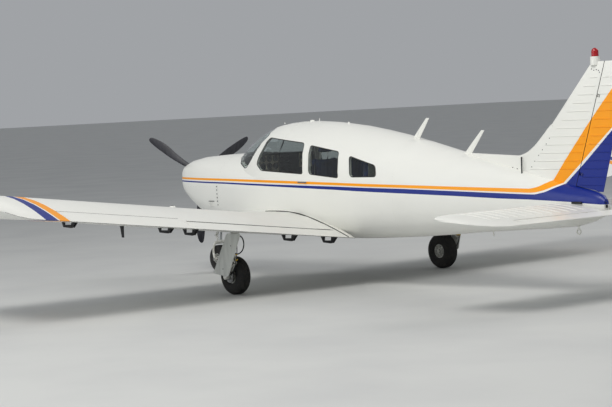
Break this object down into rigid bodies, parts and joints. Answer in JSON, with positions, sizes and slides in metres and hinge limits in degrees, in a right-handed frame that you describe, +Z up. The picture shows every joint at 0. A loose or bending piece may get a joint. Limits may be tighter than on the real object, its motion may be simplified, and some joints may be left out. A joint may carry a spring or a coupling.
{
  "type": "light aircraft",
  "caption": "Low-wing, single-engine light aircraft with a cabin door, retractable gear standing on its wheels, control surfaces and a turning propeller.",
  "frame": {"origin": "on the ground, under the middle of the aircraft's bounding box", "axes": "+X towards the tail, +Y towards the starboard wing tip, +Z up"},
  "size_m": [7.52, 9.66, 2.5143],
  "materials": {
    "white_paint": "gloss white paint on riveted sheet",
    "blue_paint": "gloss dark blue paint on sheet",
    "gear_paint": "gloss white paint on steel",
    "door_paint": "pale grey paint on sheet",
    "rim_metal": "satin pale casting",
    "blade_paint": "satin black paint",
    "pipe_steel": "heat-stained steel",
    "engine_iron": "matte casting",
    "tyre_rubber": "matte worn rubber",
    "window_acrylic": "clear, slightly green",
    "seat_cloth": "dark blue woven cloth",
    "panel_plastic": "matte black",
    "beacon_lens": "clear red"
  },
  "bodies": {
    "airframe": {"cowl_upper": "white_paint", "cowl_lower": "white_paint", "exhaust_pipe": "pipe_steel", "engine_block": "engine_iron", "cabin_floor": "white_paint", "cabin_firewall": "white_paint", "windshield_frame": "white_paint", "cabin_roof": "white_paint", "cabin_rear_wall": "white_paint", "cabin_side_right": "white_paint", "cabin_side_left": "white_paint", "windshield_left": "window_acrylic", "windshield_right": "window_acrylic", "window_left_front": "window_acrylic", "window_left_middle": "window_acrylic", "window_left_rear": "window_acrylic", "window_right_middle": "window_acrylic", "window_right_rear": "window_acrylic", "instrument_panel": "panel_plastic", "front_seat_right": "seat_cloth", "front_seat_left": "seat_cloth", "rear_bench": "seat_cloth", "tail_cone": "white_paint", "wing_right": "white_paint", "wing_left": "white_paint", "pitot_mast": "blade_paint", "fin": "white_paint", "beacon": "beacon_lens", "main_leg_right": "gear_paint", "main_leg_left": "gear_paint", "main_gear_door_right": "door_paint", "main_gear_door_left": "door_paint", "nose_leg": "gear_paint", "nose_gear_door_right": "white_paint", "nose_gear_door_left": "white_paint"},
    "cabin_door": {"cabin_door": "white_paint", "cabin_door_window": "window_acrylic"},
    "baggage_door": {"baggage_door": "white_paint"},
    "propeller": {"propeller": "blade_paint", "spinner": "white_paint"},
    "flap_right": {"flap_right": "white_paint"},
    "flap_left": {"flap_left": "white_paint"},
    "aileron_right": {"aileron_right": "white_paint"},
    "aileron_left": {"aileron_left": "white_paint"},
    "rudder": {"rudder": "blue_paint"},
    "stabilator": {"stabilator": "white_paint"},
    "anti_servo_tab": {"anti_servo_tab": "white_paint"},
    "nose_fork": {"nose_fork": "gear_paint"},
    "nose_wheel": {"nose_rim": "rim_metal", "nose_tyre": "tyre_rubber"},
    "main_wheel_right": {"main_rim_right": "rim_metal", "main_tyre_right": "tyre_rubber"},
    "main_wheel_left": {"main_rim_left": "rim_metal", "main_tyre_left": "tyre_rubber"}
  },
  "joints": [
    {"name": "propeller_spin", "type": "hinge", "parent": "airframe", "child": "propeller", "pos_m": [-3.454, 0, 1.261], "axis": [1, 0, 0], "continuous": true},
    {"name": "nose_steer", "type": "hinge", "parent": "airframe", "child": "nose_fork", "pos_m": [-3.089, 0, 0.464], "axis": [0.1191, 0, 0.9929], "range_deg": [-30, 30]},
    {"name": "nose_wheel_spin", "type": "hinge", "parent": "nose_fork", "child": "nose_wheel", "pos_m": [-3.117, 0, 0.17284], "axis": [0, 1, 0], "continuous": true},
    {"name": "main_wheel_right_spin", "type": "hinge", "parent": "airframe", "child": "main_wheel_right", "pos_m": [-0.659, 1.583, 0.21235], "axis": [0, 1, 0], "continuous": true},
    {"name": "main_wheel_left_spin", "type": "hinge", "parent": "airframe", "child": "main_wheel_left", "pos_m": [-0.659, -1.583, 0.21235], "axis": [0, 1, 0], "continuous": true},
    {"name": "cabin_door_swing", "type": "hinge", "parent": "airframe", "child": "cabin_door", "pos_m": [-1.645, 0.559, 1.034], "axis": [0, 0, 1], "range_deg": [0, 75]},
    {"name": "baggage_door_swing", "type": "hinge", "parent": "airframe", "child": "baggage_door", "pos_m": [0.225, 0.539, 0.964], "axis": [0, 0, 1], "range_deg": [0, 85]},
    {"name": "flap_right_swing", "type": "hinge", "parent": "airframe", "child": "flap_right", "pos_m": [-0.06, 0.612, 0.5266], "axis": [0, 0.9918, 0.1276], "range_deg": [0, 40]},
    {"name": "flap_left_swing", "type": "hinge", "parent": "airframe", "child": "flap_left", "pos_m": [-0.06, -0.612, 0.5266], "axis": [0, 0.9918, -0.1276], "range_deg": [0, 40]},
    {"name": "aileron_right_swing", "type": "hinge", "parent": "airframe", "child": "aileron_right", "pos_m": [-0.135, 2.666, 0.8005], "axis": [0, 0.9918, 0.1276], "range_deg": [-25, 12.5]},
    {"name": "aileron_left_swing", "type": "hinge", "parent": "airframe", "child": "aileron_left", "pos_m": [-0.135, -2.666, 0.8005], "axis": [0, 0.9918, -0.1276], "range_deg": [-25, 12.5]},
    {"name": "rudder_swing", "type": "hinge", "parent": "airframe", "child": "rudder", "pos_m": [3.134, 0, 1.126], "axis": [0.3162, 0, 0.9487], "range_deg": [-27, 27]},
    {"name": "stabilator_swing", "type": "hinge", "parent": "airframe", "child": "stabilator", "pos_m": [3.09, 0, 0.9208], "axis": [0, 1, 0], "range_deg": [-14, 2]},
    {"name": "anti_servo_tab_swing", "type": "hinge", "parent": "stabilator", "child": "anti_servo_tab", "pos_m": [3.532, 0, 0.87958], "axis": [0, 1, 0], "range_deg": [-8, 2]}
  ],
  "couplings": [
    {"joint": "flap_left_swing", "follows": "flap_right_swing", "ratio": 1},
    {"joint": "anti_servo_tab_swing", "follows": "stabilator_swing", "ratio": 0.5}
  ]
}
